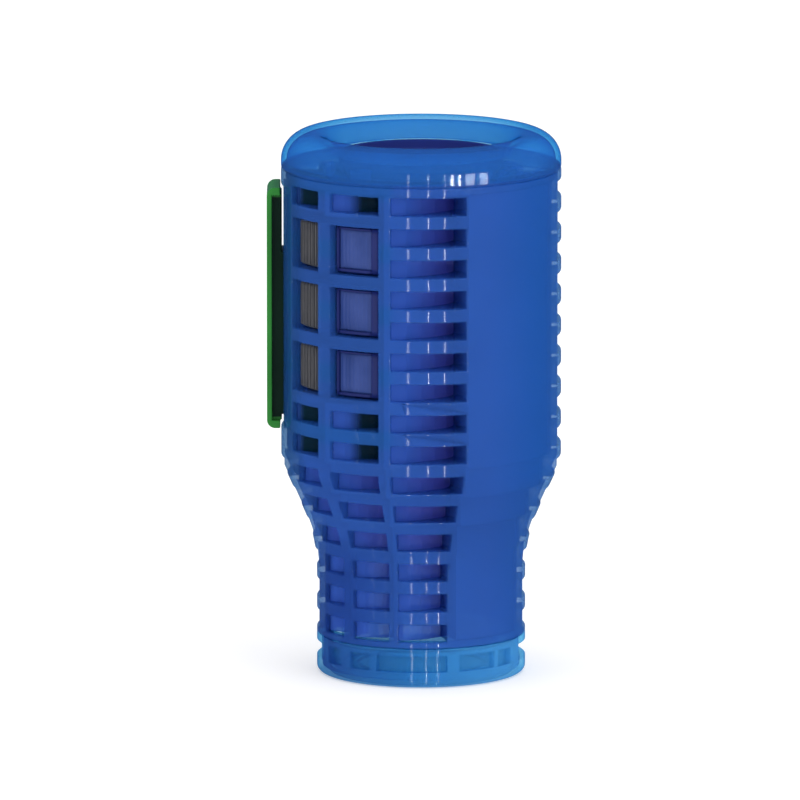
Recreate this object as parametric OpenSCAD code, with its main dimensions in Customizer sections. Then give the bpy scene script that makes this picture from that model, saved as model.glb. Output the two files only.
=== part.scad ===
// Wasp trap: a slotted bottle-shaped cage around a closed inner bottle, with a lift-off funnel cap,
// a lift-off base with a drowning dish, and a bait cartridge that slides in from the side.
// Millimetres, +Z up. The origin is the middle of the face that the trap stands on.
// Angles run from the front (-Y) towards +X.

/* [Casing] */
// Outer radius of the body
body_r = 55; // [54.5:0.1:56]
// Outer radius of the neck
neck_r = 41; // [40.8:0.1:42]
// Thickness of the cage wall
wall = 2.2; // [1.9:0.1:2.4]
// Height at which the neck ends and the waist starts
neck_top = 40; // [39:0.5:41]
// Radius of the curve at the bottom of the waist
waist_bend = 61; // [58:1:64]
// Height at which the waist curve turns into a straight cone
waist_mid = 65.5; // [64:0.5:66]
// Height at which the waist meets the body
waist_top = 84; // [83:0.5:86]
// Height of the cage's top edge
cage_top = 200.4; // [200:0.1:200.8]

/* [Slots] */
// Upper edge of the top row of slots
slot_top = 196.4; // [196:0.1:196.6]
// Distance from one row to the next
slot_pitch = 12.24; // [12.2:0.01:12.26]
// Height of a slot
slot_h = 7; // [6.4:0.1:7.2]
// How far a louvre falls back, as a share of the radius for each degree
louvre_rate = 0.008; // [0.006:0.0005:0.0085]
// Width of the fin at the deep end of a louvre, in degrees
fin_deg = 1.5; // [1.2:0.1:1.6]

/* [Cap] */
// Radius of the rolled rim's section
rim_r = 11; // [10.6:0.1:11.2]
// Height of the centre of the rolled rim
rim_z = 203.5; // [203.4:0.1:203.8]
// Inner radius of the funnel's throat
throat_r = 12; // [11:0.5:13]
// Depth of the funnel's bowl
bowl_h = 18; // [15:0.5:18]

/* [Cartridge] */
// Height of the grip bar's lower end
grip_z0 = 98.3; // [98.3:0.1:98.6]
// Height of the grip bar's upper end
grip_z1 = 193.8; // [193.5:0.1:193.8]
// How far the grip bar stands out from the body
grip_out = 5.5; // [5:0.1:6.5]
// Half width of the grip bar
grip_half = 11.5; // [11:0.1:11.5]
// Half width of the cartridge's tray
tray_half = 10; // [9.5:0.1:10]

/* [Base] */
// Height of the base ring
base_h = 15.4; // [15.2:0.1:15.4]
// Rounding of the base's lower edge
foot_r = 2.5; // [2:0.1:2.5]

/* [Hidden] */
$fn = 96;
eps = 0.01;
gap = 0.3; // between pieces that come apart
skin = 1.5; // thickness of the inner bottle
far = 70; // past the outside of everything

blue = [0.17, 0.33, 0.64, 0.7];
pale_blue = [0.28, 0.5, 0.78, 0.5];
green = [0.2, 0.42, 0.23];
dark_green = [0.08, 0.2, 0.14];
seal_grey = [0.55, 0.62, 0.7];

// Each column of slots, as the angles of its shallow and deep ends. The first two are the bait
// windows at the front and the last two are those at the back.
windows_front = [[-67, -47.4], [-40.5, -17.9]];
middle_front = [-12.8, 18.75];
side_columns = [[76, 102], [109.6, 132.6]];
middle_back = [161.25, 190.5];
windows_back = [[199.2, 220.5], [227.4, 247]];
under_grip = [258, 282]; // only below the body
columns = concat(windows_front, [middle_front], side_columns, [middle_back], windows_back);
middle_narrowing = 4.25; // how many degrees the middle columns lose on the way down the waist
body_rows = 9;
last_cage_row = 15;
window_row_pairs = [2, 4, 6]; // each window is this row, the next one, and the rib between them
window_back_r = 41.8; // radius of the back of a bait window, deeper than any louvre there
window_edge = 1.5; // how far the window pocket reaches past its windows, in degrees
louvre_lead = 0.8; // how far before its slot a louvre starts, in degrees

bore_r = neck_r - wall; // inside of the cage's wall in the neck
body_bore_r = body_r - wall;
cage_z0 = base_h + gap;
seat_z = 18.3; // the cage's round seat for the base ends here, and its louvres start
louvre_top = 197; // the louvres end here, and the round seat for the cap starts
seat_extra = 0.2; // the round seats are this much wider than the louvres' hollow

function slot_z(row) = slot_top - slot_pitch * (row - 1) - slot_h;
function rib_z(row) = slot_z(row) - (slot_pitch - slot_h) / 2; // middle of the rib under a row
function at(r, a) = [r * sin(a), -r * cos(a)];
function waist_r(z) =
    z <= neck_top ? neck_r
    : z <= waist_mid ? neck_r + waist_bend - sqrt(pow(waist_bend, 2) - pow(z - neck_top, 2))
    : waist_r(waist_mid) + (body_r - waist_r(waist_mid)) * (z - waist_mid) / (waist_top - waist_mid);

// A pocket is [first angle, last angle, share of the radius at the first, share at the last].
function louvre(c) =
    let (a = c[0] - louvre_lead, b = c[1] + fin_deg)
    [a, b, 1, 1 - louvre_rate * (b - a)];
pad_share = window_back_r / body_bore_r;
function pad_pocket(w) = [w[0][0] - window_edge, w[1][1] + window_edge, pad_share, pad_share];
middle_pockets = [for (c = concat([middle_front], side_columns, [middle_back])) louvre(c)];
body_pockets = [for (c = columns) louvre(c)];
neck_pockets = [for (c = concat(columns, [under_grip])) louvre(c)];
window_pockets = concat([pad_pocket(windows_front)], middle_pockets, [pad_pocket(windows_back)]);

// Degrees that an inset takes up at about the radius of the pockets' radial faces
function inset_deg(inset) = inset / 45 * 180 / PI;
function first_a(p, inset) = p[2] < 1 ? p[0] - inset_deg(inset) : p[0];
function last_a(p, inset) = p[1] + inset_deg(inset);
function pocket_points(p, r, inset, n = 5) = [
    if (p[2] < 1) at(r - inset, first_a(p, inset)),
    for (i = [0 : n])
        let (a = first_a(p, inset) + (last_a(p, inset) - first_a(p, inset)) * i / n)
        at(r * (p[2] + (p[3] - p[2]) * (a - p[0]) / (p[1] - p[0])) - inset, a),
    at(r - inset, last_a(p, inset))
];
function panel_points(p, next, turn, r, inset) =
    let (a = last_a(p, inset), b = first_a(next, inset) + turn, n = ceil((b - a) / 8))
    n < 2 ? [] : [for (i = [1 : n - 1]) at(r - inset, a + (b - a) * i / n)];

// The hollow of the cage seen from above, brought in by inset
module plan(pockets, r, inset) {
    count = len(pockets);
    polygon([
        for (i = [0 : count - 1])
            let (next = pockets[(i + 1) % count], turn = i == count - 1 ? 360 : 0)
            each concat(
                pocket_points(pockets[i], r, inset),
                panel_points(pockets[i], next, turn, r, inset)
            )
    ]);
}

module prism(z0, z1, pockets, r, inset) {
    translate([0, 0, z0]) linear_extrude(z1 - z0) plan(pockets, r, inset);
}

// The hollow of the cage from z0 to z1, brought in by inset: each stretch of it is narrower than
// the one above, except that the bait windows' is narrower than both its neighbours
module hollow(z0, z1, inset) {
    first_step = body_rows + 3;
    prism(z0, rib_z(first_step) + inset, neck_pockets, bore_r, inset);
    for (row = [body_rows + 1 : first_step]) {
        low = rib_z(row);
        high = rib_z(row - 1);
        prism(low + inset, high + inset, neck_pockets, waist_r(low) - wall, inset);
    }
    pair_low = rib_z(window_row_pairs[2] + 1);
    pair_high = rib_z(window_row_pairs[0] - 1);
    prism(rib_z(body_rows) + inset, pair_low - inset, body_pockets, body_bore_r, inset);
    prism(pair_low - inset, pair_high + inset, window_pockets, body_bore_r, inset);
    prism(pair_high + inset, z1, body_pockets, body_bore_r, inset);
}

// A wedge from the axis outwards, between two angles and two heights
module wedge(c, z0, z1) {
    translate([0, 0, z0]) linear_extrude(z1 - z0) polygon([[0, 0], at(far, c[0]), at(far, c[1])]);
}

module ring(r0, r1, z0, z1) {
    translate([0, 0, z0]) difference() {
        cylinder(r = r1, h = z1 - z0);
        translate([0, 0, -1]) cylinder(r = r0, h = z1 - z0 + 2);
    }
}

// A block between two corners
module block(low, high) {
    translate(low) cube(high - low);
}

/* ---- Base ---- */

base_spigot_r = bore_r - 0.4;
foot_bore_r = bore_r - 2.8; // inside of the base ring's foot
dish_top = base_h - 1.9;
base_window = [6.2, 12.7];
// Posts of the base ring, as middle angle and width; the back has the same ones mirrored
base_posts = [[-67.5, 10], [-46.6, 7], [-27.5, 4], [18, 7], [46, 3], [64, 10]];

module base_ring() {
    color(pale_blue) difference() {
        rotate_extrude() {
            translate([bore_r, foot_r]) square([wall, base_h - foot_r]);
            translate([foot_bore_r, 0]) square([neck_r - foot_r - foot_bore_r, foot_r]);
            intersection() {
                translate([neck_r - foot_r, foot_r]) circle(foot_r);
                translate([neck_r - foot_r, 0]) square(foot_r);
            }
            translate([base_spigot_r - 1.8, base_h - 1.5]) square([wall + 1, 1.5]);
            translate([base_spigot_r - 1.8, base_h - eps]) square([1.8, 1.8 + eps]);
        }
        for (side = [0, 1]) mirror([0, side, 0]) base_windows();
    }
}

module base_windows() {
    count = len(base_posts);
    difference() {
        for (i = [0 : count - 2]) {
            a = base_posts[i];
            b = base_posts[i + 1];
            wedge([a[0] + a[1] / 2, b[0] - b[1] / 2], base_window[0], base_window[1]);
        }
        translate([0, 0, -1]) cylinder(r = bore_r - 1, h = base_h + 2);
    }
    // the windows at the two sides reach only to the middle here, and their mirror images meet them
    for (c = [[69, 90], [-90, -72.5]]) difference() {
        wedge(c, base_window[0], base_window[1]);
        translate([0, 0, -1]) cylinder(r = bore_r - 1, h = base_h + 2);
    }
}

// A stepped cup whose floor is flush with the foot of the base ring
module base_dish() {
    t = 1.6;
    foot = foot_bore_r - gap;
    color(pale_blue) rotate_extrude() {
        polygon([
            [0, 0], [foot, 0], [foot, foot_r], [base_spigot_r, foot_r], [base_spigot_r, dish_top],
            [base_spigot_r - t, dish_top], [base_spigot_r - t, foot_r + t], [foot - t, foot_r + t],
            [foot - t, t], [0, t]
        ]);
        translate([24, t - eps]) square([1.2, 1.2]);
    }
}

module base_gasket() {
    color(seal_grey) ring(base_spigot_r - 1.8, base_spigot_r, base_h + 1.8, base_h + 2.6);
}

/* ---- Casing ---- */

housing_half = tray_half + 1.9; // half width of the housing outside
housing_wall = 1.5;
housing_z = [97, 195];
housing_x = [0.6 - body_bore_r, -17];
ledge_x = -34.5; // outwards of this the housing reaches up beside the funnel's bowl
ledge_z = 185.5;

// The housing's outline seen from the front, with its sides brought in by inset and its outer
// side at x0: it steps down under the funnel's bowl
module bay_outline(x0, inset) {
    polygon([
        [x0, housing_z[0] + inset], [housing_x[1] - inset, housing_z[0] + inset],
        [housing_x[1] - inset, ledge_z - inset], [ledge_x - inset, ledge_z - inset],
        [ledge_x - inset, housing_z[1] - inset], [x0, housing_z[1] - inset]
    ]);
}

// The same outline as a block from y0 to y1
module bay(x0, inset, y0, y1) {
    translate([0, y1, 0]) rotate([90, 0, 0]) linear_extrude(y1 - y0) bay_outline(x0, inset);
}

mouth_half = tray_half + 0.4; // the opening in the cage that the cartridge slides through
mouth_z = [grip_z0 - 0.3, grip_z1 + 0.3];

module cage_body() {
    n = 8;
    rotate_extrude() polygon(concat(
        [[0, cage_z0], [neck_r, cage_z0]],
        [for (i = [0 : n]) let (z = neck_top + (waist_mid - neck_top) * i / n) [waist_r(z), z]],
        [[body_r, waist_top], [body_r, cage_top], [0, cage_top]]
    ));
}

function is_pair(row) = len([for (p = window_row_pairs) if (row == p || row == p + 1) 1]) > 0;
function narrowing(row) = middle_narrowing * max(0, min(1, (row - body_rows) / 4));

module slots() {
    window_columns = concat(windows_front, windows_back);
    for (row = [1 : last_cage_row]) {
        z = slot_z(row);
        loss = narrowing(row);
        wedge([middle_front[0], middle_front[1] - loss], z, z + slot_h);
        wedge([middle_back[0] + loss, middle_back[1]], z, z + slot_h);
        for (c = side_columns) wedge(c, z, z + slot_h);
        if (!is_pair(row)) for (c = window_columns) wedge(c, z, z + slot_h);
        if (row > body_rows) wedge(under_grip, z, z + slot_h);
    }
    for (row = window_row_pairs, c = window_columns) wedge(c, slot_z(row + 1), slot_z(row) + slot_h);
}

module cage() {
    color(blue) difference() {
        cage_body();
        translate([0, 0, cage_z0 - 1]) cylinder(r = bore_r + seat_extra, h = seat_z - cage_z0 + 1);
        hollow(seat_z - eps, louvre_top + eps, 0);
        translate([0, 0, louvre_top]) cylinder(r = body_bore_r + seat_extra, h = 10);
        slots();
        block([-far, -mouth_half, mouth_z[0]], [-30, mouth_half, mouth_z[1]]);
    }
}

module inner_bottle() {
    color(pale_blue) difference() {
        hollow(seat_z + eps, louvre_top - gap, gap);
        hollow(seat_z - 1, louvre_top + 1, gap + skin);
        block(
            [-far, -housing_half - gap, housing_z[0] - gap],
            [-30, housing_half + gap, housing_z[1] + gap]
        );
    }
}

module bait_housing() {
    vent = [112.5, 178.5];
    color(blue) difference() {
        intersection() {
            bay(-far, 0, -housing_half, housing_half);
            translate([0, 0, 90]) cylinder(r = body_bore_r - 0.6, h = 120);
        }
        bay(-far - 1, housing_wall, housing_wall - housing_half, housing_half - housing_wall);
        for (i = [0 : 3])
            block([-46 + i * 7.5, -far, vent[0]], [-43 + i * 7.5, far, vent[1]]);
        for (i = [0 : 3]) block([-30, -9 + i * 5, vent[0]], [0, -6 + i * 5, vent[1]]);
    }
}

// Two bent leaf springs on the housing's back wall, which the cartridge's end snaps over
module housing_clips() {
    color("silver") for (z = [106, 179]) translate([housing_x[1] - housing_wall - 0.4, 0, z]) {
        block([0, -3, -3.5], [0.4, 3, 3.5]);
        rotate([90, 0, 0]) translate([0, 0, -3]) linear_extrude(6) difference() {
            circle(0.9, $fn = 48);
            circle(0.55, $fn = 48);
            translate([0.05, -2]) square([3, 4]);
        }
    }
}

// A flat felt strip that hangs from the housing, with a round lower end
module scent_wick() {
    mid = -20.3;
    half = 3.3;
    low = 47.5;
    color([0.16, 0.2, 0.14]) translate([0, 1.5, 0]) rotate([90, 0, 0]) linear_extrude(3)
        polygon(concat(
            [[-33, housing_z[0]], [mid + half, housing_z[0]]],
            [for (i = [0 : 12]) [mid + half * cos(15 * i), low - half * sin(15 * i)]],
            [[-25, 86]]
        ));
}

pad_thick = body_r - 3 - window_back_r - 0.6; // the pads' faces are 3 mm in from the body's surface

// A curved pad that fills one bait window
module window_fill(c, row, thick) {
    r = window_back_r + 0.6;
    start = c[0] + 0.9;
    z0 = slot_z(row + 1) + 0.8;
    z1 = slot_z(row) + slot_h - 0.8;
    translate([0, 0, z0]) rotate_extrude(angle = c[1] - c[0] - 1.8, start = start - 90)
        translate([r, 0]) square([thick, z1 - z0]);
}

module felt_pads() {
    color([0.5, 0.47, 0.36])
        for (row = window_row_pairs, c = [windows_front[0], windows_back[1]]) {
            window_fill(c, row, pad_thick);
        }
}

module gel_packs() {
    color([0.55, 0.55, 0.8])
        for (row = window_row_pairs, c = [windows_front[1], windows_back[0]]) {
            window_fill(c, row, pad_thick);
        }
}

/* ---- Cap ---- */

rim_mid = body_r - rim_r; // radius of the circle that the rolled rim's section runs round
mouth_r = rim_mid - rim_r; // inner radius of the rolled rim
cap_z0 = cage_top + 1;
lip_z = rim_z + 2.9; // the rolled rim ends here on its inner side, and the funnel starts
funnel_z1 = lip_z - 0.2;
funnel_wall = 1.8;
throat_z1 = funnel_z1 - bowl_h;
throat_z0 = throat_z1 - 12;

module rim_shell() {
    color(blue) rotate_extrude() {
        intersection() {
            difference() {
                translate([rim_mid, rim_z]) circle(rim_r);
                translate([rim_mid, rim_z]) circle(rim_r - wall);
            }
            union() {
                translate([mouth_r - 1, lip_z]) square([2 * rim_r + 2, rim_r]);
                translate([rim_mid, rim_z]) square([rim_r + 1, rim_r]);
            }
        }
        translate([body_bore_r, cap_z0]) square([wall, rim_z - cap_z0]);
        translate([body_bore_r - 2, cap_z0]) square([2, 1.6]);
        translate([body_bore_r - 2, louvre_top + 0.4]) square([1.6, cap_z0 - louvre_top - 0.4]);
    }
}

// The bowl is a quarter of an ellipse that ends in the throat.
bowl_r = mouth_r - 0.1;
function bowl_point(i, n, out) =
    let (a = 90 * i / n)
    [
        throat_r + (bowl_r - throat_r - funnel_wall) * cos(a) + out * cos(a),
        funnel_z1 - bowl_h * sin(a) - out * sin(a)
    ];

module entry_funnel() {
    n = 10;
    color(blue) rotate_extrude() polygon(concat(
        [for (i = [0 : n]) bowl_point(i, n, 0)],
        [[throat_r, throat_z0], [throat_r + funnel_wall, throat_z0]],
        [[throat_r + funnel_wall, throat_z1 - funnel_wall]],
        [for (i = [n - 1 : -1 : 0]) bowl_point(i, n, funnel_wall)]
    ));
}

// A collar on the throat's end, with a ring of springy fingers that only open downwards
module throat_collar() {
    fingers = 10;
    r0 = throat_r + funnel_wall + 0.05;
    color(dark_green) {
        ring(r0, r0 + 1.4, throat_z0 - 1.6, throat_z0 + 4);
        ring(throat_r - 1, r0 + 1, throat_z0 - 1.6, throat_z0 - 0.1);
        for (i = [0 : fingers - 1]) rotate(i * 360 / fingers)
            translate([throat_r - 0.4, 0, throat_z0 - 1.2]) rotate([0, 34, 0])
                translate([-1.2, -2.4, -8.2]) cube([0.8, 4.8, 8.4]);
    }
}

// The ring under the rolled rim that the cap's four lugs stand on
module locking_ring() {
    lug_r = [mouth_r + wall + 0.2, mouth_r + wall + 5.8];
    lug_z = [louvre_top + 0.1, 203.9];
    color(blue) {
        ring(lug_r[0], lug_r[0] + 2, lug_z[0], lug_z[0] + 2);
        for (a = [38, 142, 218, 322]) intersection() {
            ring(lug_r[0], lug_r[1], lug_z[0], lug_z[1]);
            wedge([a - 4.5, a + 4.5], lug_z[0] - 1, lug_z[1] + 1);
        }
    }
}

module cap_gasket() {
    color(seal_grey) ring(body_bore_r + 0.1, body_r - 0.4, cage_top + 0.1, cap_z0);
}

/* ---- Cartridge ---- */

tray_gap = 1.5; // between the tray and the housing's walls
tray_inset = housing_wall + tray_gap;
tray_x0 = -53;
tray_wall = 1.6;
cover_y = -8.1; // the face where the tray ends and the cover starts
shelf_count = 2;
tray_floor = housing_z[0] + tray_inset + tray_wall;
cell_h = (ledge_z - tray_inset - tray_wall - tray_floor - shelf_count * tray_wall) / 3;
function shelf_z(i) = tray_floor + cell_h + i * (cell_h + tray_wall); // underside of a shelf

module cartridge_grip() {
    x0 = -body_r - grip_out;
    side_half = grip_half - 3.5;
    flange = 3;
    corner = 3.3;
    color(green) {
        // outer plate with flanges at both ends, rounded at its outer corners
        translate([0, grip_half, 0]) rotate([90, 0, 0]) linear_extrude(2 * grip_half) difference() {
            intersection() {
                union() {
                    translate([x0 + corner, grip_z0]) square([grip_out, grip_z1 - grip_z0]);
                    translate([x0, grip_z0 + corner])
                        square([grip_out, grip_z1 - grip_z0 - 2 * corner]);
                    for (z = [grip_z0 + corner, grip_z1 - corner])
                        translate([x0 + corner, z]) circle(corner);
                }
                translate([x0 - 1, 0]) square([grip_out + 1 - gap, 300]);
            }
            translate([x0 + 2, grip_z0 + flange]) square([grip_out, grip_z1 - grip_z0 - 2 * flange]);
        }
        // recessed middle, and the web that goes through the wall to the tray
        block([x0 + 1.9, -side_half, grip_z0 + 2.9], [x0 + grip_out + 0.3, side_half, grip_z1 - 2.9]);
        block([x0 + grip_out, -side_half, grip_z0 + 5], [tray_x0, side_half, 168]);
    }
}

// Rows of vents through a side of the cartridge
module cartridge_vents() {
    for (i = [0 : 2], z = [106, 132, 158])
        block([-48 + i * 9, -far, z], [-44 + i * 9, far, z + 18]);
}

module cartridge_tray() {
    inner = tray_inset + tray_wall;
    color(dark_green) {
        difference() {
            bay(tray_x0, tray_inset, cover_y, tray_half);
            intersection() {
                bay(tray_x0, inner, cover_y - 1, tray_half - tray_wall);
                block([tray_x0 + tray_wall, -far, 0], [0, far, 300]);
            }
            intersection() {
                cartridge_vents();
                block([-far, 0, 0], [0, far, 300]);
            }
        }
        for (i = [0 : shelf_count - 1])
            block(
                [tray_x0 + tray_wall - eps, cover_y, shelf_z(i)],
                [housing_x[1] - inner + eps, tray_half - tray_wall + eps, shelf_z(i) + tray_wall]
            );
    }
}

module cartridge_cover() {
    color(dark_green) difference() {
        bay(tray_x0, tray_inset, -tray_half, cover_y - 0.05);
        cartridge_vents();
    }
}

// A band round the cartridge just inside its outer end
module cartridge_seal() {
    color("dimgray") intersection() {
        difference() {
            bay(-far, tray_inset - 0.4, -tray_half - 0.35, tray_half + 0.35);
            bay(-far - 1, tray_inset, -tray_half, tray_half);
        }
        block([tray_x0 + 1.6, -far, 0], [tray_x0 + 3.2, far, 300]);
    }
}

module lure_blocks() {
    size = [26, 13.2, 22.5];
    chamfer = 3;
    mid = [(tray_x0 + housing_x[1] - tray_inset) / 2, 0.2];
    color([0.72, 0.62, 0.4]) for (i = [0 : shelf_count])
        translate([mid[0], mid[1], tray_floor + i * (cell_h + tray_wall)])
            linear_extrude(size[2]) difference() {
                square([size[0], size[1]], center = true);
                for (x = [-1, 1], y = [-1, 1])
                    translate([x * size[0] / 2, y * size[1] / 2]) rotate(45) square(chamfer, center = true);
            }
}

base_ring();
base_dish();
base_gasket();
cage();
inner_bottle();
bait_housing();
housing_clips();
scent_wick();
felt_pads();
gel_packs();
rim_shell();
entry_funnel();
throat_collar();
locking_ring();
cap_gasket();
cartridge_grip();
cartridge_tray();
cartridge_cover();
cartridge_seal();
lure_blocks();
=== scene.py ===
import math

import bmesh
import bpy
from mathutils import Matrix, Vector


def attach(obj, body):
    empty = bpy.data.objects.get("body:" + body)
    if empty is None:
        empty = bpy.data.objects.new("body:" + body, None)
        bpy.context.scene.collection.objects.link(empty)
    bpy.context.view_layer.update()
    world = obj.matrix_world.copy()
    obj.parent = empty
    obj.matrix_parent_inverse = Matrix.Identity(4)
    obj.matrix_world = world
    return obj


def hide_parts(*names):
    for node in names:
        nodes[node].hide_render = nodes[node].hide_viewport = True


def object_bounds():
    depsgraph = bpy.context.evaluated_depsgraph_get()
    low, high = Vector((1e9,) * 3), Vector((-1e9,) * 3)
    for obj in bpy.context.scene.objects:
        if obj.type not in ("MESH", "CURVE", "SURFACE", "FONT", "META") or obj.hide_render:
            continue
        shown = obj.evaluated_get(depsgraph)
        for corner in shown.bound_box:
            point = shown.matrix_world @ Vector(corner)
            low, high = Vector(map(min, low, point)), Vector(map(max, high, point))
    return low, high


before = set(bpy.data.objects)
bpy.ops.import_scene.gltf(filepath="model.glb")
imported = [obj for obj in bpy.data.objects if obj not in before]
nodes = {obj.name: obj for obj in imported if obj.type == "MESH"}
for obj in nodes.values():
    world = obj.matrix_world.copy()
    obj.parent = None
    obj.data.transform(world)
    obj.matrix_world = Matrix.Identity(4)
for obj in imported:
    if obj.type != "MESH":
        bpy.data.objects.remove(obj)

# Wasp trap in see-through blue plastic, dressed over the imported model: procedural materials for
# every piece, rounded edges, felt and gel bait pads, a pale floor, studio lights and the camera.

cad_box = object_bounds()
scene = bpy.context.scene

low, high = cad_box
MM = 0.001
MIDDLE = Vector((0, 0, (low.z + high.z) / 2))

VIEW_ELEVATION = math.radians(10)
VIEW_DISTANCE = 6
VIEW_WIDTH = 0.3145  # what the camera takes in at the trap's axis
VIEW_RISE = 0.0003  # how far above the trap's middle the camera aims
VIEW_SIDESTEP = -0.0083  # the trap stands a little right of the middle of the picture


# ---- Materials ----

ROUND_FACES = (0.975, 0.99)  # how squarely a face looks away from the axis to count as round

class Nodes:
    """A material's node tree, with a short way to add a node and join sockets."""

    def __init__(self, name):
        self.material = bpy.data.materials.new(name)
        self.material.use_nodes = True
        self.tree = self.material.node_tree
        self.tree.nodes.clear()
        self.output = self.add("ShaderNodeOutputMaterial")

    def add(self, kind, **inputs):
        node = self.tree.nodes.new(kind)
        for key, value in inputs.items():
            name = key.replace("_", " ")
            if name in node.inputs:
                if isinstance(value, bpy.types.NodeSocket):
                    self.tree.links.new(value, node.inputs[name])
                else:
                    node.inputs[name].default_value = value
            else:
                setattr(node, key, value)
        return node

    def link(self, source, target):
        self.tree.links.new(source, target)

    def finish(self, shader):
        self.link(shader, self.output.inputs["Surface"])
        return self.material

    def coords(self, scale=(1, 1, 1)):
        where = self.add("ShaderNodeTexCoord")
        mapping = self.add("ShaderNodeMapping", Vector=where.outputs["Object"], Scale=scale)
        return mapping.outputs["Vector"]

    def noise(self, scale, detail=3.0, stretch=(1, 1, 1)):
        made = self.add("ShaderNodeTexNoise", Vector=self.coords(stretch), Scale=scale, Detail=detail)
        return made.outputs["Fac"]

    def ramp(self, factor, stops):
        made = self.add("ShaderNodeValToRGB", Fac=factor)
        ramp = made.color_ramp
        while len(ramp.elements) < len(stops):
            ramp.elements.new(0.5)
        for element, (place, colour) in zip(ramp.elements, stops):
            element.position = place
            element.color = (*colour, 1)
        return made.outputs["Color"]

    def between(self, factor, first, second):
        """A number that runs from first to second as factor runs from 0 to 1."""
        return self.remap(factor, 0.0, 1.0, first, second)

    def blend_colours(self, factor, first, second, how="MIX"):
        mixed = self.add("ShaderNodeMix", data_type="RGBA", blend_type=how)
        if isinstance(factor, bpy.types.NodeSocket):
            self.link(factor, mixed.inputs["Factor"])
        else:
            mixed.inputs["Factor"].default_value = factor
        for socket, value in zip((i for i in mixed.inputs if i.type == "RGBA"), (first, second)):
            if isinstance(value, bpy.types.NodeSocket):
                self.link(value, socket)
            else:
                socket.default_value = (*value, 1)
        return next(o for o in mixed.outputs if o.type == "RGBA")

    def from_axis(self):
        """The vector from the trap's axis straight out to where the surface is."""
        where = self.add("ShaderNodeTexCoord").outputs["Object"]
        return self.vector_sums("MULTIPLY", where, (1, 1, 0)).outputs[0]

    def radius(self):
        """The distance from the trap's axis."""
        return self.vector_sums("LENGTH", self.from_axis()).outputs["Value"]

    def place(self, axis):
        """How far along an axis, in metres."""
        where = self.add("ShaderNodeTexCoord").outputs["Object"]
        return self.add("ShaderNodeSeparateXYZ", Vector=where).outputs[axis]

    def remap(self, value, low, high, to_low=0.0, to_high=1.0):
        """A number that runs from to_low to to_high as value runs from low to high."""
        made = self.add("ShaderNodeMapRange", Value=value)
        names = ("From Min", "From Max", "To Min", "To Max")
        for name, end in zip(names, (low, high, to_low, to_high)):
            made.inputs[name].default_value = end
        return made.outputs["Result"]

    def set_inputs(self, node, *values):
        """Fills a node's first inputs, each with a number or colour or from another node."""
        for socket, value in zip(node.inputs, values):
            if isinstance(value, bpy.types.NodeSocket):
                self.link(value, socket)
            else:
                socket.default_value = value
        return node

    def sums(self, operation, first, second=0.0):
        made = self.add("ShaderNodeMath", operation=operation)
        return self.set_inputs(made, first, second).outputs[0]

    def add_share(self, first, share, second):
        """first times share, plus second."""
        return self.sums("ADD", self.sums("MULTIPLY", first, share), second)

    def vector_sums(self, operation, *values):
        made = self.add("ShaderNodeVectorMath", operation=operation)
        return self.set_inputs(made, *values)

    def round_normal(self):
        """The shading normal, made exactly radial on faces that lie round the trap's axis."""
        radial = self.vector_sums("NORMALIZE", self.from_axis()).outputs[0]
        geometry = self.add("ShaderNodeNewGeometry")
        facing_out = self.vector_sums("DOT_PRODUCT", radial, geometry.outputs["True Normal"])
        facing_out = facing_out.outputs["Value"]
        outward = self.vector_sums("SCALE", radial)
        self.link(self.sums("SIGN", facing_out), outward.inputs["Scale"])
        blend = self.add("ShaderNodeMix", data_type="VECTOR")
        is_round = self.remap(self.sums("ABSOLUTE", facing_out), *ROUND_FACES)
        self.link(is_round, blend.inputs["Factor"])
        ends = [i for i in blend.inputs if i.type == "VECTOR" and i.name in ("A", "B")]
        self.link(geometry.outputs["Normal"], ends[0])
        self.link(outward.outputs[0], ends[1])
        mixed = next(o for o in blend.outputs if o.type == "VECTOR")
        return self.vector_sums("NORMALIZE", mixed).outputs[0]

    def bump(self, height, strength, distance):
        made = self.add("ShaderNodeBump", Height=height, Strength=strength, Distance=distance)
        return made.outputs["Normal"]

    def paint(self, shader, name, value):
        """Sets a named socket of a shader, whatever spaces its name has."""
        if isinstance(value, bpy.types.NodeSocket):
            self.link(value, shader.inputs[name])
        else:
            shader.inputs[name].default_value = value


def shade(colour, factor):
    return tuple(c * factor for c in colour)


def powered(colour, power):
    return tuple(c ** power for c in colour)


EDGE_CLEAR = (0.02, 0.12, 0.26)


def see_through(name, clear, body, solid, inner=None):
    """Tinted see-through plastic: each face lets most light by, tinted, and scatters a little.

    Where a wall is seen edge on, the light crosses more of it and the tint is stronger, up to
    EDGE_CLEAR. body is the colour that it scatters, solid is the share that doesn't go through,
    and inner(n, tint, colour) may change both colours from place to place.
    """
    n = Nodes(name)
    cloud = n.noise(28, 4)
    facing = n.add("ShaderNodeLayerWeight", Blend=0.5).outputs["Facing"]
    tint = n.ramp(facing, [(0.0, clear), (0.5, powered(clear, 1.3)), (0.75, powered(clear, 2.6)),
                           (0.9, powered(clear, 5)), (1.0, EDGE_CLEAR)])
    colour = n.ramp(cloud, [(0.3, shade(body, 0.94)), (0.7, shade(body, 1.06))])
    if inner:
        tint, colour = inner(n, tint, colour)
    through = n.add("ShaderNodeBsdfTransparent", Color=tint)
    inside = n.add("ShaderNodeBsdfPrincipled")
    n.paint(inside, "Base Color", colour)
    n.paint(inside, "Roughness", n.between(n.noise(90, 5), 0.04, 0.065))
    n.paint(inside, "IOR", 1.49)
    n.paint(inside, "Normal", n.round_normal())
    mix = n.set_inputs(n.add("ShaderNodeMixShader"), solid, through.outputs[0], inside.outputs[0])
    return n.finish(mix.outputs[0])


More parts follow.
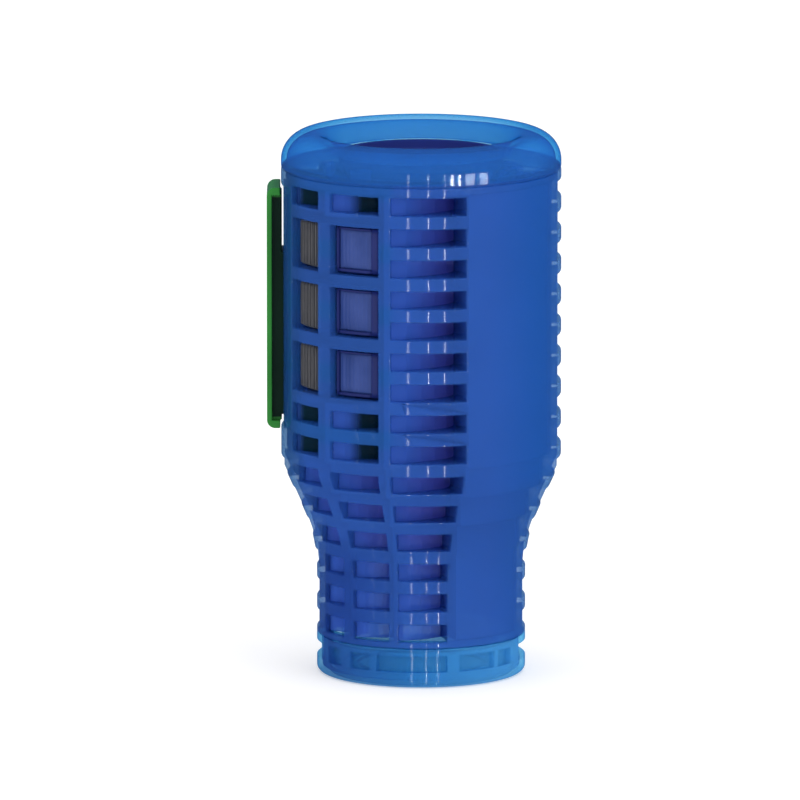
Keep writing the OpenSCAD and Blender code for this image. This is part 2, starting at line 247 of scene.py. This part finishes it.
def moulded(name, colour, roughness, grain):
    """Opaque moulded plastic with a faint mottle, a fine texture and slightly uneven gloss."""
    n = Nodes(name)
    mottle = n.noise(35, 5)
    plastic = n.add("ShaderNodeBsdfPrincipled")
    stops = [(0.3, shade(colour, 0.86)), (0.7, shade(colour, 1.12))]
    n.paint(plastic, "Base Color", n.ramp(mottle, stops))
    n.paint(plastic, "Roughness", n.between(n.noise(120, 4), roughness * 0.8, roughness * 1.25))
    n.paint(plastic, "IOR", 1.5)
    n.paint(plastic, "Normal", n.bump(n.noise(900, 3), grain, 0.0002))
    return n.finish(plastic.outputs[0])


GRIP_MIDDLE_Z = 146 * MM
GRIP_INSERT_TALL = 43.5 * MM  # half the height of the recessed insert, which is painted dark as shade
GRIP_INSERT_WIDE = 8.3 * MM  # and half its width


def grip_plastic(name):
    """Glossy green frame round a recessed insert, whose much darker green is painted shade, as one
    moulding.
    """
    n = Nodes(name)
    mottle = n.noise(35, 5)
    # painted shade: the recessed insert is coloured dark green, the frame round it bright green
    across = n.sums("ABSOLUTE", n.place("Y"))
    insert_shade = n.remap(across, GRIP_INSERT_WIDE + 0.3 * MM, GRIP_INSERT_WIDE)
    from_middle = n.sums("ABSOLUTE", n.sums("SUBTRACT", n.place("Z"), GRIP_MIDDLE_Z))
    within = n.remap(from_middle, GRIP_INSERT_TALL + 0.3 * MM, GRIP_INSERT_TALL)
    insert_shade = n.sums("MULTIPLY", insert_shade, within)
    bright = n.ramp(mottle, [(0.3, (0.022, 0.19, 0.026)), (0.7, (0.03, 0.25, 0.036))])
    dark = n.ramp(mottle, [(0.3, (0.003, 0.024, 0.01)), (0.7, (0.005, 0.033, 0.014))])
    plastic = n.add("ShaderNodeBsdfPrincipled")
    n.paint(plastic, "Base Color", n.blend_colours(insert_shade, bright, dark))
    n.paint(plastic, "Roughness", n.between(n.noise(120, 4), 0.24, 0.36))
    n.paint(plastic, "IOR", 1.5)
    n.paint(plastic, "Specular IOR Level", 0.3)
    n.paint(plastic, "Normal", n.bump(n.noise(900, 3), 0.1, 0.0001))
    return n.finish(plastic.outputs[0])


def felt(name, dark, light, pitch):
    """Pressed felt with fine vertical ribs and loose fibres."""
    n = Nodes(name)
    fibres = n.noise(700, 6, (1, 1, 0.25))
    patches = n.noise(60, 3)
    ribs = n.add("ShaderNodeTexWave", Vector=n.coords((1, 1, 0)), Scale=1 / pitch, Distortion=0.6)
    ribs.inputs["Detail"].default_value = 2
    weave = n.add_share(ribs.outputs["Fac"], 0.35, fibres)
    blotch = n.add_share(patches, 0.6, weave)
    cloth = n.add("ShaderNodeBsdfPrincipled")
    n.paint(cloth, "Base Color", n.ramp(blotch, [(0.5, dark), (1.0, light)]))
    n.paint(cloth, "Roughness", 0.92)
    n.paint(cloth, "Sheen Weight", 0.25)
    n.paint(cloth, "Normal", n.bump(weave, 0.7, 0.0006))
    return n.finish(cloth.outputs[0])


def gel(name, dark, light):
    """Lavender gel behind a ribbed film: waxy, with soft vertical streaks."""
    n = Nodes(name)
    streaks = n.noise(160, 4, (1, 1, 0.06))
    cloud = n.noise(45, 3)
    mixed = n.add_share(streaks, 0.7, cloud)
    wax = n.add("ShaderNodeBsdfPrincipled")
    n.paint(wax, "Base Color", n.ramp(mixed, [(0.55, dark), (1.05, light)]))
    n.paint(wax, "Roughness", n.between(cloud, 0.3, 0.5))
    n.paint(wax, "IOR", 1.4)
    n.paint(wax, "Normal", n.bump(streaks, 0.35, 0.0005))
    return n.finish(wax.outputs[0])


def steel(name):
    n = Nodes(name)
    brushed = n.noise(400, 4, (1, 1, 0.05))
    metal = n.add("ShaderNodeBsdfPrincipled")
    greys = [(0.3, (0.5, 0.5, 0.52)), (0.7, (0.68, 0.68, 0.7))]
    n.paint(metal, "Base Color", n.ramp(brushed, greys))
    n.paint(metal, "Metallic", 1.0)
    n.paint(metal, "Roughness", n.between(brushed, 0.22, 0.38))
    return n.finish(metal.outputs[0])


BOTTLE_NECK_R = 38.5 * MM
BOTTLE_BODY_R = 52.5 * MM
WAIST = (40 * MM, 84 * MM)
LOUVRE_START = 3.5 * MM  # how deep in a louvre the painted shade starts
LOUVRE_DEPTH = 12.5 * MM  # and where the painted shade is darkest
BAIT_SHADE_DEPTHS = (3.0 * MM, 5.2 * MM)  # the depths over which the painted shade beside the bait windows comes in
OUTER_COLUMN = (-37 * MM, -43 * MM)  # where the outer bait windows are, and their shallower painted shade
OUTER_SHADE_SHALLOWER = 3.6 * MM
BAIT_SIDE_X = -12.5 * MM  # the bait windows lie to the left of this
BAIT_FLOOR_Z = 88 * MM  # and above this
WINDOW_PITCH = 24.48 * MM  # two louvre rows
FIRST_BAR_Z = 101.12 * MM


def louvre_depth_shade(n, tint, colour):
    """Painted shade: darkens the inner bottle's louvres with their depth, and most beside the bait
    windows.
    """
    panel = n.remap(n.place("Z"), *WAIST, BOTTLE_NECK_R, BOTTLE_BODY_R)
    depth = n.sums("SUBTRACT", panel, n.radius())
    # painted shade that deepens with a louvre's depth, in both the see-through tint and the scattered
    # colour
    depth_shade = n.remap(depth, LOUVRE_START, LOUVRE_DEPTH)
    tint = n.blend_colours(depth_shade, tint, (0.62, 0.62, 0.88))
    colour = n.blend_colours(depth_shade, colour, (0.11, 0.12, 0.62))
    # painted shade, near black-green, deep in the louvres beside the bait windows
    beside = n.sums("MULTIPLY", n.remap(n.place("X"), BAIT_SIDE_X, BAIT_SIDE_X - 2 * MM),
                    n.remap(n.place("Z"), BAIT_FLOOR_Z, BAIT_FLOOR_Z + 3 * MM))
    nearer = n.sums("ADD", depth, n.remap(n.place("X"), *OUTER_COLUMN, 0, OUTER_SHADE_SHALLOWER))
    shade_beside_bait = n.sums("MULTIPLY", beside, n.remap(nearer, *BAIT_SHADE_DEPTHS))
    tint = n.blend_colours(shade_beside_bait, tint, (0.14, 0.24, 0.26))
    colour = n.blend_colours(shade_beside_bait, colour, (0.004, 0.03, 0.055))
    return tint, colour


def wall_tints_and_shade(n, tint, colour):
    """Teal bars between the bait windows, a wall a little bluer at its right, and painted shade that
    darkens it beside the grip and at the left of the neck.
    """
    height, along = n.place("Z"), n.place("X")

    def painted(factor, share, shade_to):
        return n.blend_colours(n.sums("MULTIPLY", factor, share), colour, shade_to)

    pitch_up = n.sums("DIVIDE", n.sums("SUBTRACT", height, FIRST_BAR_Z), WINDOW_PITCH)
    away = n.sums("ABSOLUTE", n.sums("SUBTRACT", n.sums("FRACT", pitch_up), 0.5))
    bars = n.sums("MULTIPLY", n.remap(along, -10 * MM, -13 * MM), n.remap(away, 0.30, 0.40))
    above_floor = n.remap(height, BAIT_FLOOR_Z + 2 * MM, BAIT_FLOOR_Z + 6 * MM)
    colour = painted(n.sums("MULTIPLY", bars, above_floor), 0.35, (0.006, 0.13, 0.4))
    # painted shade on the wall's left, beside the grip
    shade_beside_grip = n.remap(along, -45 * MM, -52 * MM)
    colour = painted(shade_beside_grip, 0.7, (0.01, 0.07, 0.2))
    # painted shade on the left of the neck
    neck = n.remap(height, 62 * MM, 45 * MM)
    neck_left_shade = n.sums("MULTIPLY", neck, n.remap(along, -5 * MM, -30 * MM))
    colour = painted(neck_left_shade, 0.6, (0.012, 0.04, 0.26))
    right = n.remap(along, 26 * MM, 46 * MM)
    colour = painted(right, 0.6, (0.004, 0.11, 0.46))
    return tint, colour


def base_light(n, tint, colour):
    """Painted light and shade: the base is darker on its left and lighter on its right."""
    across = n.remap(n.place("X"), -42 * MM, 42 * MM)
    lit = n.ramp(across, [(0.0, (0.7, 0.3, 0.5)), (0.45, (0.9, 1.0, 0.9)), (1.0, (2.4, 1.8, 1.2))])
    return tint, n.blend_colours(1.0, colour, lit, "MULTIPLY")


WALL_CLEAR = (0.80, 0.90, 0.97)
WALL_BODY = (0.033, 0.116, 0.47)
LOUVRE_BODY = (0.058, 0.16, 0.7)
COLLAR_BODY = (0.034, 0.115, 0.50)
CAP_CLEAR = (0.56, 0.84, 0.95)
CAP_BODY = (0.04, 0.2, 0.66)
# the funnel is a darker, less clear copy of the blue plastic: painted shade in the trap's mouth
FUNNEL_CLEAR = (0.24, 0.3, 0.6)
FUNNEL_BODY = (0.035, 0.055, 0.3)
BASE_CLEAR = (0.72, 0.9, 0.97)
BASE_BODY = (0.055, 0.28, 0.75)

blue = see_through("blue_plastic", WALL_CLEAR, WALL_BODY, 0.54, wall_tints_and_shade)
pale_blue = see_through("pale_blue_plastic", WALL_CLEAR, LOUVRE_BODY, 0.58, louvre_depth_shade)
cap_blue = see_through("cap_plastic", CAP_CLEAR, CAP_BODY, 0.3)
funnel_blue = see_through("funnel_plastic", FUNNEL_CLEAR, FUNNEL_BODY, 0.7)
base_blue = see_through("base_plastic", BASE_CLEAR, BASE_BODY, 0.3, base_light)
collar_blue = see_through("collar_plastic", WALL_CLEAR, COLLAR_BODY, 0.2)
green = grip_plastic("green_plastic")
dark_green = moulded("dark_green_plastic", (0.006, 0.028, 0.022), 0.5, 0.35)
spring_steel = steel("spring_steel")
wick_felt = felt("wick_felt", (0.004, 0.012, 0.012), (0.014, 0.03, 0.02), 0.0016)
bait_felt = felt("bait_felt", (0.012, 0.0135, 0.018), (0.034, 0.033, 0.04), 0.0024)
scent_gel = gel("scent_gel", (0.014, 0.04, 0.19), (0.042, 0.08, 0.3))
# the gel frames' dark blue is painted shade at the edges of the scent windows
gel_shade_frame = moulded("gel_shade_frame", (0.012, 0.022, 0.16), 0.4, 0.15)
black_rubber = moulded("black_rubber", (0.006, 0.006, 0.007), 0.6, 0.3)
lure_wax = felt("lure_wax", (0.28, 0.2, 0.09), (0.5, 0.38, 0.2), 0.004)

MATERIALS = {
    "base_ring": base_blue, "base_dish": base_blue, "base_gasket": base_blue,
    "cage": blue, "inner_bottle": pale_blue, "bait_housing": dark_green,
    "housing_clips": spring_steel, "scent_wick": wick_felt, "felt_pads": bait_felt,
    "gel_packs": scent_gel,
    "rim_shell": cap_blue, "entry_funnel": funnel_blue, "throat_collar": collar_blue,
    "locking_ring": cap_blue, "cap_gasket": blue,
    "cartridge_grip": green, "cartridge_tray": dark_green, "cartridge_cover": dark_green,
    "cartridge_seal": black_rubber, "lure_blocks": lure_wax,
}


def dress_frame():
    for name, node in nodes.items():
        node.data.materials.clear()
        node.data.materials.append(MATERIALS[name])


# ---- Floor, lights and camera ----

def make_floor():
    mesh = bpy.data.meshes.new("floor")
    size = 30
    corners = [(-size, -size, 0), (size, -size, 0), (size, size, 0), (-size, size, 0)]
    mesh.from_pydata(corners, [], [(0, 1, 2, 3)])
    floor = bpy.data.objects.new("floor", mesh)
    scene.collection.objects.link(floor)
    floor.location.z = low.z - 0.0002
    floor.visible_glossy = False
    floor.visible_shadow = False
    n = Nodes("floor_white")
    paint = n.add("ShaderNodeBsdfPrincipled")
    cloud = n.noise(0.6, 2)
    n.paint(paint, "Base Color", n.ramp(cloud, [(0.3, (0.8, 0.8, 0.8)), (0.7, (0.82, 0.82, 0.82))]))
    n.paint(paint, "Roughness", 0.9)
    n.paint(paint, "Emission Color", (1, 1, 1, 1))
    n.paint(paint, "Emission Strength", 0.32)
    mesh.materials.append(n.finish(paint.outputs[0]))


def aim(thing, target):
    thing.rotation_euler = (Vector(target) - thing.location).to_track_quat("-Z", "Y").to_euler()


def around(azimuth, elevation, distance, centre=MIDDLE):
    """A place seen from centre: azimuth 0 is in front (-Y), and 90 is at +X."""
    a, e = math.radians(azimuth), math.radians(elevation)
    way = Vector((math.sin(a) * math.cos(e), -math.cos(a) * math.cos(e), math.sin(e)))
    return centre + way * distance


def area_light(name, place, size, power, target=MIDDLE, glossy_only=False):
    data = bpy.data.lights.new(name, "AREA")
    data.shape = "RECTANGLE"
    data.size, data.size_y = size
    data.energy = power
    light = bpy.data.objects.new(name, data)
    scene.collection.objects.link(light)
    light.location = place
    aim(light, target)
    light.visible_camera = False
    light.visible_glossy = glossy_only
    if glossy_only:
        light.visible_diffuse = False
        light.visible_transmission = False
        light.visible_volume_scatter = False
    return light


# Azimuth in degrees, width in metres and power of each strip, and azimuth and width of each pane
STRIPS = ((-10.6, 0.08, 3.2), (5.8, 0.022, 3.2), (19.0, 0.028, 3.6))
STRIP_ELEVATION = -10  # as far below level as the camera is above it
PANES = ((25, 0.08), (31, 0.06), (40, 0.2), (52, 0.2))


def lit_only(name, *lit):
    """A collection of nodes for a light to shine on and nothing else."""
    group = bpy.data.collections.new(name)
    for node in lit:
        group.objects.link(nodes[node])
    return group


def make_lights():
    world = bpy.data.worlds.new("studio")
    scene.world = world
    world.use_nodes = True
    tree = world.node_tree
    # white all round to light the trap, and dim where a glossy surface mirrors the room
    back = tree.nodes["Background"]
    back.inputs["Color"].default_value = (1, 1, 1, 1)
    back.inputs["Strength"].default_value = 1.0
    room = tree.nodes.new("ShaderNodeBackground")
    room.inputs["Color"].default_value = (0.45, 0.65, 1, 1)
    room.inputs["Strength"].default_value = 0.2
    path = tree.nodes.new("ShaderNodeLightPath")
    mix = tree.nodes.new("ShaderNodeMixShader")
    tree.links.new(path.outputs["Is Glossy Ray"], mix.inputs["Fac"])
    tree.links.new(back.outputs[0], mix.inputs[1])
    tree.links.new(room.outputs[0], mix.inputs[2])
    tree.links.new(mix.outputs[0], tree.nodes["World Output"].inputs["Surface"])
    area_light("key", around(35, 55, 1.6), (0.8, 0.8), 4)
    area_light("fill", around(-60, 40, 1.8), (1.2, 1.2), 2.5)
    # thin upright strips whose reflections run down the front of the trap
    blue_only = lit_only("blue_only", "cage", "inner_bottle", "rim_shell", "base_ring", "base_dish")
    for i, (azimuth, width, power) in enumerate(STRIPS):
        place = around(azimuth, STRIP_ELEVATION, 2.4)
        strip = area_light(f"strip_{i}", place, (width, 1.4), power, glossy_only=True)
        strip.light_linking.receiver_collection = blue_only
    # panes of a window, seen only in the cap's shoulder at the front right
    cap_only = lit_only("cap_only", "rim_shell")
    for i, (azimuth, width) in enumerate(PANES):
        pane = area_light(f"pane_{i}", around(azimuth, -4, 1.5), (width, 0.26), 4, glossy_only=True)
        pane.light_linking.receiver_collection = cap_only


def make_camera():
    data = bpy.data.cameras.new("camera")
    camera = bpy.data.objects.new("camera", data)
    scene.collection.objects.link(camera)
    data.sensor_width = 36
    data.lens = data.sensor_width * VIEW_DISTANCE / VIEW_WIDTH
    camera.location = (
        VIEW_SIDESTEP,
        -VIEW_DISTANCE * math.cos(VIEW_ELEVATION),
        MIDDLE.z + VIEW_RISE + VIEW_DISTANCE * math.sin(VIEW_ELEVATION),
    )
    aim(camera, (VIEW_SIDESTEP, 0, MIDDLE.z + VIEW_RISE))
    data.clip_end = 100
    scene.camera = camera


# ---- Detailed pieces ----

def soften(thing, width):
    """Rounds the sharp edges with modifiers, and evens the shading over flat and round faces."""
    weld = thing.modifiers.new("weld", "WELD")
    weld.merge_threshold = 0.005 * MM
    bevel = thing.modifiers.new("bevel", "BEVEL")
    bevel.width = width
    bevel.segments = 2
    bevel.limit_method = "ANGLE"
    bevel.angle_limit = math.radians(62)  # the slots' edges, and not the facets of the waist
    bevel.use_clamp_overlap = False
    even = thing.modifiers.new("even_normals", "WEIGHTED_NORMAL")
    even.weight = 60
    even.keep_sharp = False


def loose_parts(node):
    """The separate solids of a node: inner and outer radius, first and last angle, low and high."""
    bm = bmesh.new()
    bm.from_mesh(node.data)
    bmesh.ops.remove_doubles(bm, verts=bm.verts, dist=0.002 * MM)
    left = set(bm.verts)
    parts = []
    while left:
        todo = [left.pop()]
        found = []
        while todo:
            v = todo.pop()
            found.append(v.co.copy())
            for e in v.link_edges:
                other = e.other_vert(v)
                if other in left:
                    left.remove(other)
                    todo.append(other)
        radii = [math.hypot(c.x, c.y) for c in found]
        angles = [math.atan2(c.x, -c.y) for c in found]
        heights = [c.z for c in found]
        parts.append((min(radii), max(radii), min(angles), max(angles), min(heights), max(heights)))
    bm.free()
    return sorted(parts, key=lambda p: (round(p[2], 3), p[4]))


def curved_block(bm, inner_r, outer_r, a0, a1, z0, z1, steps, surface=None, round_edge=0.0):
    """A block bent round the trap's axis.

    surface(u, v) adds to the outer radius, with u and v from 0 to 1 across and up the block.
    """
    nu, nv = steps
    front, back = {}, {}
    for i in range(nu + 1):
        for j in range(nv + 1):
            u, v = i / nu, j / nv
            edge = min(u, 1 - u) * (a1 - a0) * outer_r, min(v, 1 - v) * (z1 - z0)
            drop = sum(round_edge - math.sqrt(max(0.0, round_edge ** 2 - (round_edge - e) ** 2))
                       for e in edge if e < round_edge)
            r = outer_r - drop + (surface(u, v) if surface else 0.0)
            a = a0 + (a1 - a0) * u
            z = z0 + (z1 - z0) * v
            front[i, j] = bm.verts.new((r * math.sin(a), -r * math.cos(a), z))
            back[i, j] = bm.verts.new((inner_r * math.sin(a), -inner_r * math.cos(a), z))
    for i in range(nu):
        for j in range(nv):
            bm.faces.new((front[i, j], front[i + 1, j], front[i + 1, j + 1], front[i, j + 1]))
            bm.faces.new((back[i, j + 1], back[i + 1, j + 1], back[i + 1, j], back[i, j]))
    rim = [(i, 0) for i in range(nu)] + [(nu, j) for j in range(nv)]
    rim += [(i, nv) for i in range(nu, 0, -1)] + [(0, j) for j in range(nv, 0, -1)]
    for here, there in zip(rim, rim[1:] + rim[:1]):
        bm.faces.new((front[here], back[here], back[there], front[there]))


def piece(name, bm, material, body):
    mesh = bpy.data.meshes.new(name)
    bmesh.ops.recalc_face_normals(bm, faces=bm.faces)
    bm.to_mesh(mesh)
    bm.free()
    for face in mesh.polygons:
        face.use_smooth = True
    mesh.materials.append(material)
    made = bpy.data.objects.new(name, mesh)
    scene.collection.objects.link(made)
    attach(made, body)
    return made


def make_felt_pads():
    """Each bait window's felt: a padded block with upright ribs pressed into it."""
    ribs = 7
    rib_depth = 0.35 * MM

    def ribbed(u, v):
        fade = min(1.0, min(u, 1 - u, v, 1 - v) * 2 * ribs)
        return rib_depth * (abs(math.sin(math.pi * ribs * u)) - 1) * fade

    for i, (r0, r1, a0, a1, z0, z1) in enumerate(loose_parts(nodes["felt_pads"])):
        bm = bmesh.new()
        curved_block(bm, r0, r1, a0, a1, z0, z1, (70, 24), ribbed, 1.2 * MM)
        pad = piece(f"felt_pad_{i + 1}", bm, bait_felt, "casing")
        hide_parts("felt_pads")


GEL_BORDERS = (0.055, 0.16, 0.07, 0.05)  # frame beside and over the gel, its dark colour painted shade: first, last, under, over


def make_gel_packs():
    """Each scent window: a frame bent round the trap, coloured dark as painted shade at the window's
    edges, and a pillow of gel under ribbed film.
    """
    first, last, under, over = GEL_BORDERS
    frame_depth = 2.2 * MM
    crown = 0.7 * MM
    ripples, ripple_depth = 8, 0.12 * MM

    def pillow(u, v):
        bulge = (1 - (2 * u - 1) ** 4) * (1 - (2 * v - 1) ** 4)
        return (crown + ripple_depth * math.cos(2 * math.pi * ripples * u)) * bulge

    for i, (r0, r1, a0, a1, z0, z1) in enumerate(loose_parts(nodes["gel_packs"])):
        back = a0 > math.pi / 2 or a0 < -math.pi / 2
        left, right = (first, last) if not back else (last, first)
        g0, g1 = a0 + (a1 - a0) * left, a1 - (a1 - a0) * right
        h0, h1 = z0 + (z1 - z0) * under, z1 - (z1 - z0) * over
        bm = bmesh.new()
        well = r1 - frame_depth
        curved_block(bm, r0, well, a0, a1, z0, z1, (24, 4))
        borders = ((a0, g0, z0, z1), (g1, a1, z0, z1), (g0, g1, z0, h0), (g0, g1, h1, z1))
        for border in borders:
            curved_block(bm, well, r1, *border, (8, 8), round_edge=0.3 * MM)
        rim = piece(f"gel_shade_frame_{i + 1}", bm, gel_shade_frame, "casing")
        bm = bmesh.new()
        curved_block(bm, well + 0.02 * MM, well + 0.9 * MM, g0, g1, h0, h1, (64, 24), pillow)
        gel_piece = piece(f"gel_pillow_{i + 1}", bm, scent_gel, "casing")
        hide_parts("gel_packs")
        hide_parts("gel_packs")


make_camera()
make_floor()
make_lights()
dress_frame()
soften(nodes["cage"], 0.55 * MM)
soften(nodes["cartridge_grip"], 0.4 * MM)
make_felt_pads()
make_gel_packs()

scene.view_settings.view_transform = "Standard"
scene.cycles.transparent_max_bounces = 64
